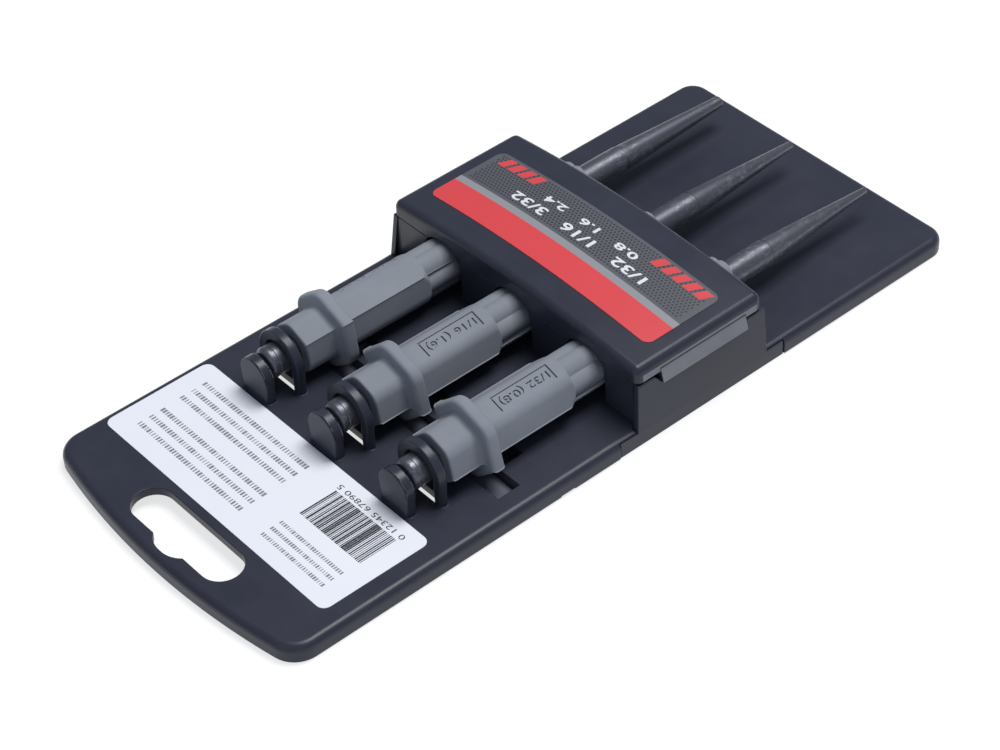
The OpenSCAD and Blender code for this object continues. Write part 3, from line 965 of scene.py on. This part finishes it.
# Rows on the tray's sticker, by the names of the tree's inputs; least and most are shares of a step
BARS = {"Columns": 40, "Rows": 1, "Step": 0.54, "Row Step": 0, "Height": 10.4, "Least": 0.2, "Most": 1.05}
RULES = {"Columns": 44, "Rows": 3, "Step": 0.9, "Row Step": 3.3, "Height": 1.35, "Least": 0.25, "Most": 0.75}
SIDE_RULES = {"Columns": 30, "Rows": 3, "Step": 0.74, "Row Step": 2.6, "Height": 1.05,
              "Least": 0.25, "Most": 0.75}
ROW_LENGTHS = ("Step", "Row Step", "Height")


def sticker_levels(low, high):
    """Inset and height of each ring of a sticker with a slightly rounded edge."""
    return [(STICKER_EDGE, low), (0.0, low + STICKER_EDGE), (0.0, high - STICKER_EDGE), (STICKER_EDGE, high)]


def make_lid_sticker():
    """Printed sticker that follows the lid's crown."""
    half = (print_high.x - print_low.x) / 2
    levels = [(inset, lambda x, rise=rise: crown_z(x) + rise)
              for inset, rise in sticker_levels(STICKER_AIR, STICKER_AIR + STICKER_T)]
    bm = bmesh.new()
    crowned_skin(bm, levels, half, print_low.y, print_high.y, STICKER_CORNER)
    sticker = new_object("lid_sticker", bm)
    smooth(sticker)
    dress(sticker, FILM, "holder", "lid_print", "lid_label")


def make_tray_sticker():
    """White sticker that lies flat on the tray."""
    half = (paper_high.x - paper_low.x) / 2
    middle = (paper_high.x + paper_low.x) / 2
    bm = bmesh.new()
    rings = []
    for inset, z in sticker_levels(paper_low.z, paper_high.z):
        front, back = crowned_plan(half, paper_low.y, paper_high.y, STICKER_CORNER, inset)
        rings.append([(middle + x, y, z) for x, y in front + back[::-1]])
    skin(bm, rings)
    sticker = new_object("tray_sticker", bm)
    smooth(sticker)
    dress(sticker, PAPER, "holder", "white_paper", "tray_label")


def words_mesh(words, length, height, thick, bold=0.0):
    """Flat lettering of a given length and height, centred, as a closed mesh."""
    curve = bpy.data.curves.new("words", "FONT")
    curve.body = words
    curve.extrude = 0.5
    curve.offset = bold
    curve.resolution_u = LETTER_STEPS
    holder = bpy.data.objects.new("words", curve)
    bpy.context.scene.collection.objects.link(holder)
    graph = bpy.context.evaluated_depsgraph_get()
    mesh = bpy.data.meshes.new_from_object(holder.evaluated_get(graph))
    bpy.data.objects.remove(holder)
    bm = bmesh.new()
    bm.from_mesh(mesh)
    bpy.data.meshes.remove(mesh)
    bmesh.ops.remove_doubles(bm, verts=bm.verts, dist=LETTER_GAP)
    xs = [v.co.x for v in bm.verts]
    ys = [v.co.y for v in bm.verts]
    middle = Vector(((min(xs) + max(xs)) / 2, (min(ys) + max(ys)) / 2, 0))
    bmesh.ops.translate(bm, vec=-middle, verts=bm.verts)
    size = (length / (max(xs) - min(xs)), height / (max(ys) - min(ys)), thick)
    bmesh.ops.scale(bm, vec=size, verts=bm.verts)
    return bm


def lay(bm, right, up, place):
    """Turns a flat mesh so that its X and Y follow two directions, and moves it to its place."""
    out = right.cross(up)
    turn = Matrix((right, up, out)).transposed().to_4x4()
    bmesh.ops.transform(bm, matrix=Matrix.Translation(place) @ turn, verts=bm.verts)


def slanted_bar(bm, x, rise):
    """Leaning bar of ink on the crowned lid."""
    y0, y1 = RED_BAR_Y
    far = x + RED_BAR_W
    plan = [(x, y0), (far, y0), (far + RED_BAR_SLANT, y1), (x + RED_BAR_SLANT, y1)]
    skin(bm, [[(px, py, crown_z(px) + rise + more) for px, py in plan] for more in (INK_AIR, 2 * INK)])


def paper_rows(name, tree, rows, seed, x, y, paint):
    """Rows of bars on the tray's sticker, with their middle at x and y."""
    values = {label: value * MM if label in ROW_LENGTHS else value for label, value in rows.items()}
    values.update({"Ink": INK * MM, "Seed": seed, "Material": paint})
    piece = grow(name, tree, values)
    piece.data.transform(Matrix.Translation(Vector((x, y, paper_high.z + INK / 2)) * MM))
    dress(piece, paint, "holder", "white_paper")


def paper_print():
    """Bar block with plain numbers and rows of short rules on the tray's sticker."""
    tree = bars_tree()
    paper_rows("paper_bars", tree, BARS, seed=7, x=BARS_X, y=-66.9, paint=BAR_INK)
    paper_rows("paper_rules_low", tree, RULES, seed=8, x=-17.2, y=-77.6, paint=RULE_INK)
    paper_rows("paper_rules_high", tree, RULES, seed=9, x=-17.6, y=-65.2, paint=RULE_INK)
    paper_rows("paper_rules_side", tree, SIDE_RULES, seed=10, x=22.5, y=-79.4, paint=RULE_INK)
    bm = words_mesh("0 12345 67890 5", NUMBERS_L, NUMBERS_H, INK)
    lay(bm, PRINT_RIGHT, PRINT_UP, Vector((BARS_X, NUMBERS_Y, paper_high.z + INK / 2)))
    numbers = new_object("paper_numbers", bm)
    dress(numbers, BAR_INK, "holder", "white_paper")


def make_print():
    """Dots, plain size numbers and red bars on the lid, and the tray sticker's print."""
    top = STICKER_T + STICKER_AIR
    rows = int((print_high.y - STRIPE_END - DOT_END_MARGIN) / (DOT_PITCH * cosd(30)))
    columns = int((print_high.x - print_low.x - DOT_SIDE_MARGIN) / DOT_PITCH)
    dots = grow("lid_dots", dots_tree(), {
        "Columns": columns, "Rows": rows, "Step": DOT_PITCH * MM, "Dot": DOT_R * MM, "Ink": INK * MM,
        "Crown Radius": CROWN_R * MM, "Material": DOT_INK})
    middle = (STRIPE_END + print_high.y) / 2
    dots.data.transform(Matrix.Translation(Vector((0, middle, LID_TOP + top)) * MM))
    dress(dots, DOT_INK, "holder", "lid_print")
    for name, words, y, length, height in (("lid_fractions", "1/32   1/16   3/32", 22.7, 46.0, 3.0),
                                           ("lid_decimals", "0.8   1.6   2.4", 27.0, 32.0, 2.3)):
        bm = words_mesh(words, length, height, INK, LID_BOLD)
        lay(bm, PRINT_RIGHT, PRINT_UP, Vector((0, y, LID_TOP + top)))
        for v in bm.verts:
            v.co.z += crown_z(v.co.x) - LID_TOP + INK
        numbers = new_object(name, bm)
        dress(numbers, WHITE_INK, "holder", "lid_print")
    for name, start, count in (("red_bars_left", -35.6, 4), ("red_bars_right", 18.6, 5)):
        bm = bmesh.new()
        for i in range(count):
            slanted_bar(bm, start + RED_BAR_STEP * i, top)
        bars = new_object(name, bm)
        dress(bars, RED_INK, "holder", "lid_print")
    paper_print()


# Setters

def hexagon_reach(turn, across, edge):
    """Reach of the rounded hexagon at a turn from a face's middle; two corners stay crisp."""
    face = (turn + 30) % 60 - 30
    flat = across / 2 / cosd(face)
    if abs(turn % 180 - 90) < 30:
        return flat
    corner = 30 - abs(face)
    middle = (across / 2 - edge) / cosd(30)
    if corner > math.degrees(math.atan2(edge * sind(30), middle + edge * cosd(30))):
        return flat
    return middle * cosd(corner) + math.sqrt(edge**2 - (middle * sind(corner)) ** 2)


def lobe_reach(turn):
    """Reach of the fluted nose."""
    face = (turn + 30) % 60 - 30
    out = NOSE_R - LOBE_R
    return out * cosd(face) + math.sqrt(LOBE_R**2 - (out * sind(face)) ** 2)


def fluted(turn):
    """Fluted nose with the flash on its parting line."""
    return lobe_reach(turn) + (NOSE_FLASH if turn in PARTING else 0)


def sleeve_turns():
    """Turns at which a grip's rings have points, with the mould's parting line picked out."""
    turns = steps(0, 360, TURN_STEPS)[:-1]
    for parting in PARTING:
        turns += [parting - FLASH_TURN, parting + FLASH_TURN]
    return sorted(turns)


def grown(growth):
    """Hexagon grown over the plain body, with the flash on its crisp corners."""
    rim = (FLANGE_AF - HEX_AF) / 2
    edge = HEX_EDGE + growth * (FLANGE_EDGE - HEX_EDGE) / rim

    def reach(turn):
        flash = FLASH if turn in PARTING else 0
        return hexagon_reach(turn, HEX_AF + 2 * growth, edge) + flash
    return reach


def sleeve_stations():
    """Stations along a grip: place and reach over the turn."""
    rim = (FLANGE_AF - HEX_AF) / 2
    quarter = steps(0, 90, ROUND_STEPS)
    stations = []
    for a in quarter:
        stations.append((BLOCK_Y + BLOCK_EDGE * (1 - cosd(a)), grown(BLOCK_EDGE * (sind(a) - 1))))
    for a in quarter:
        stations.append((FLANGE_Y - RIM_FILLET * (1 - sind(a)), grown(RIM_FILLET * (1 - cosd(a)))))
    for a in quarter:
        stations.append((FLANGE_Y + RIM_EDGE * (1 - cosd(a)), grown(rim - RIM_EDGE * (1 - sind(a)))))
    for a in quarter[::-1]:
        stations.append((BODY_Y - RIM_EDGE * (1 - cosd(a)), grown(rim - RIM_EDGE * (1 - sind(a)))))
    for a in quarter[::-1]:
        stations.append((BODY_Y + RIM_FILLET * (1 - sind(a)), grown(RIM_FILLET * (1 - cosd(a)))))
    body = grown(0)
    start_y = SHOULDER_Y - SHOULDER_LEAD
    start_r = HEX_AF / 2 / cosd(30) + SHOULDER_LEAD
    for y in steps(start_y, NOSE_Y, SHOULDER_STEPS):
        slope = start_r + (NOSE_R + LEDGE - start_r) * (y - start_y) / (NOSE_Y - start_y)
        stations.append((y, lambda turn, slope=slope: min(body(turn), slope)))
    third = NOSE_ROUND / 3
    for y, more in ((NOSE_Y + SEAM, NOSE_FILLET), (NOSE_Y + NOSE_ROOT, 0.0), (NOSE_END - NOSE_ROUND, 0.0),
                    (NOSE_END - third, -third), (NOSE_END, -NOSE_ROUND)):
        stations.append((y, lambda turn, more=more: fluted(turn) + more))
    bore = ROD_R + BORE_FIT
    stations.append((NOSE_END, lambda turn: bore))
    stations.append((BLOCK_Y, lambda turn: bore))
    return stations


MARK_Y = (-26.4, -9.7)
MARK_ACROSS = (-2.55, 1.9)
MARK_DEPTH = 0.45
MARK_LINE = 0.38
MARK_END_LINE = 0.57
MARK_MARGIN = 1.2
MARK_H = 2.6
MARK_BOLD = 0.012
MARK_DROP = 0.35


def mark_tools(mark):
    """Lettering and frame that are cut into a grip's upper face."""
    roll = ROLLS[mark]
    out = Vector((cosd(roll), 0, sind(roll)))
    up = Vector((sind(roll), 0, -cosd(roll)))
    right = Vector((0, -1, 0))
    face = Vector((axis_x(mark), 0, AXIS_Z)) + out * HEX_AF / 2
    middle = (MARK_Y[0] + MARK_Y[1]) / 2
    length = MARK_Y[1] - MARK_Y[0]
    bm = words_mesh(MARK_WORDS[mark], length - 2 * MARK_MARGIN, MARK_H, 2 * MARK_DEPTH, MARK_BOLD)
    lay(bm, right, up, face + Vector((0, middle, 0)) - up * MARK_DROP)
    yield new_object("words_tool", bm)
    bm = bmesh.new()
    low, high = MARK_ACROSS
    half = length / 2
    first = MARK_END_LINE - half
    last = half - MARK_LINE
    outline = [(-half, high), (-half, low), (half, low), (half, high), (last, high),
               (last, low + MARK_LINE), (first, low + MARK_LINE), (first, high)]
    skin(bm, [[(x, y, z) for x, y in outline] for z in (-MARK_DEPTH, CUT_PAST)])
    lay(bm, right, up, face + Vector((0, middle, 0)))
    yield new_object("frame_tool", bm)


def make_sleeve(mark):
    """Grip of one setter with its size cut in."""
    x = axis_x(mark)
    roll = ROLLS[mark]
    turns = sleeve_turns()
    rings = []
    for y, reach in sleeve_stations():
        ring = [(reach(t), roll + t) for t in turns]
        rings.append([(x + out * cosd(a), y, AXIS_Z + out * sind(a)) for out, a in ring])
    bm = bmesh.new()
    skin(bm, rings, around=True)
    sleeve = new_object("sleeve_" + mark, bm)
    for tool in mark_tools(mark):
        combine(sleeve, tool, "DIFFERENCE", True)
    weld(sleeve)
    smooth(sleeve, angle=30)
    dress(sleeve, GRIP, "setter_" + mark, "grip_grey", "grip_" + mark)


def rod_profile(tip_r):
    """Places along a rod and its radius there."""
    head = [(HEAD_Y + y, HEAD_R - depth) for y, depth in HEAD_ROUND]
    ring_start = HEAD_Y + RING_Y[0]
    ring_end = HEAD_Y + RING_Y[1]
    ring_r = HEAD_R - RING_DEPTH
    shaft_r = HEAD_R - HEAD_RELIEF
    ring = [(ring_start, HEAD_R), (ring_start + RING_LEAN, ring_r), (ring_end - RING_LEAN, ring_r),
            (ring_end, shaft_r)]
    head_end = HEAD_Y + HEAD_L
    taper_y = TIP_Y - TAPER_L
    neck_r = ROD_R - RING_DEPTH
    neck = [(head_end - HEAD_CONE, shaft_r), (head_end, ROD_R), (taper_y - NECK_L, ROD_R),
            (taper_y - NECK_L + NECK_LEAN, neck_r), (taper_y, neck_r),
            (taper_y + NECK_LEAN, ROD_R - TAPER_STEP)]
    tip = [(TIP_Y - TIP_ROUND, tip_r + TIP_MORE), (TIP_Y - TIP_EDGE, tip_r - TIP_EDGE),
           (TIP_Y, tip_r - TIP_ROUND)]
    return head + ring + neck + tip


def make_rod(mark, tree):
    """Turned rod of one setter."""
    x = axis_x(mark)
    profile = rod_profile(TIP_WIDTHS[mark] / 2)
    line = bpy.data.meshes.new("rod_line")
    points = [Vector((x, y, AXIS_Z)) * MM for y, r in profile]
    line.from_pydata(points, [(i, i + 1) for i in range(len(points) - 1)], [])
    reach = line.attributes.new("reach", "FLOAT", "POINT")
    reach.data.foreach_set("value", [r * MM for y, r in profile])
    rod = grow("rod_" + mark, tree, {"Sides": ROD_SIDES, "Material": STEEL}, line)
    smooth(rod, angle=25)
    dress(rod, STEEL, "setter_" + mark, "dark_steel", "punch_" + mark)


# Stage

FLOOR_R = 4000
FLOOR_DROP = 0.05
FLOOR_SIDES = 64
COOL = (0.82, 0.89, 1.0)


def pale_floor():
    """Floor that reads as white and keeps the object's shadow."""
    bm = bmesh.new()
    bmesh.ops.create_circle(bm, cap_ends=True, segments=FLOOR_SIDES, radius=FLOOR_R)
    bmesh.ops.translate(bm, vec=(0, 0, -FLOOR_DROP), verts=bm.verts)
    floor = new_object("floor", bm)
    material = bpy.data.materials.new("pale_floor")
    material.use_nodes = True
    tree = material.node_tree
    tree.nodes.clear()
    end = tree.nodes.new("ShaderNodeOutputMaterial")
    matt = tree.nodes.new("ShaderNodeBsdfDiffuse")
    matt.inputs["Color"].default_value = (0.8, 0.8, 0.81, 1)
    shaded = tree.nodes.new("ShaderNodeBsdfDiffuse")
    shaded.inputs["Color"].default_value = (0.35, 0.35, 0.355, 1)
    glow = tree.nodes.new("ShaderNodeEmission")
    glow.inputs["Strength"].default_value = 0.72
    both = tree.nodes.new("ShaderNodeAddShader")
    ray = tree.nodes.new("ShaderNodeLightPath")
    seen = sum_node(tree, "MAXIMUM", ray.outputs["Is Camera Ray"], ray.outputs["Is Glossy Ray"])
    seen = sum_node(tree, "MAXIMUM", seen, ray.outputs["Is Transmission Ray"])
    pick = tree.nodes.new("ShaderNodeMixShader")
    wire(tree, shaded.outputs["BSDF"], both.inputs[0])
    wire(tree, glow.outputs["Emission"], both.inputs[1])
    wire(tree, seen, pick.inputs["Fac"])
    wire(tree, matt.outputs["BSDF"], pick.inputs[1])
    wire(tree, both.outputs["Shader"], pick.inputs[2])
    wire(tree, pick.outputs["Shader"], end.inputs["Surface"])
    floor.data.materials.append(material)


def area_light(name, place, target, size, power, colour=(1, 1, 1)):
    """Soft lamp in metres that faces a point."""
    lamp = bpy.data.lights.new(name, "AREA")
    lamp.shape = "SQUARE"
    lamp.size = size
    lamp.energy = power
    lamp.color = colour
    holder = bpy.data.objects.new(name, lamp)
    holder.location = place
    holder.rotation_euler = (Vector(target) - Vector(place)).to_track_quat("-Z", "Y").to_euler()
    bpy.context.scene.collection.objects.link(holder)


def studio():
    """Floor, pale world and three soft lamps."""
    pale_floor()
    world = bpy.data.worlds.new("studio")
    world.use_nodes = True
    shade = world.node_tree.nodes["Background"]
    shade.inputs["Color"].default_value = (0.72, 0.82, 1.0, 1)
    shade.inputs["Strength"].default_value = 0.27
    bpy.context.scene.world = world
    area_light("overhead", (0.05, 0.3, 1.0), (0, 0, 0), size=0.55, power=9.9)
    area_light("side_fill", (0.9, -0.5, 0.35), (0, 0, 0.02), size=0.6, power=0.45, colour=COOL)
    area_light("front_fill", (0.2, -1.1, 0.55), (0, 0, 0.01), size=0.7, power=1.1, colour=COOL)
    bpy.context.scene.view_settings.view_transform = "Standard"


# Camera at the photograph's angle, in degrees and millimetres
AZIMUTH = 51.26
ELEVATION = 41.95
ROLL = -3.25
TARGET = Vector((4.1, -6.3, 0.0))
DISTANCE = 655.2
FOCAL_PIXELS = 2775.8
PICTURE_WIDTH = 1000
SENSOR_WIDTH = 36.0


def photo_camera():
    """Camera that sees the part as the photograph does."""
    ahead = Vector((-sind(AZIMUTH) * cosd(ELEVATION), cosd(AZIMUTH) * cosd(ELEVATION), -sind(ELEVATION)))
    right = Vector((cosd(AZIMUTH), sind(AZIMUTH), 0))
    up = right.cross(ahead)
    rolled_right = right * cosd(ROLL) + up * sind(ROLL)
    rolled_up = up * cosd(ROLL) - right * sind(ROLL)
    data = bpy.data.cameras.new("photo_camera")
    data.sensor_fit = "HORIZONTAL"
    data.sensor_width = SENSOR_WIDTH
    data.lens = FOCAL_PIXELS / PICTURE_WIDTH * SENSOR_WIDTH
    data.clip_start = 0.05
    data.clip_end = 20.0
    camera = bpy.data.objects.new("photo_camera", data)
    turn = Matrix((rolled_right, rolled_up, -ahead)).transposed().to_4x4()
    camera.matrix_world = Matrix.Translation((TARGET - ahead * DISTANCE) * MM) @ turn
    bpy.context.scene.collection.objects.link(camera)
    bpy.context.scene.camera = camera


photo_camera()
studio()
make_tray()
make_bridge()
make_lid()
make_lid_sticker()
make_tray_sticker()
make_print()
rod_tree = turned_tree()
for setter in MARKS:
    make_rod(setter, rod_tree)
    make_sleeve(setter)
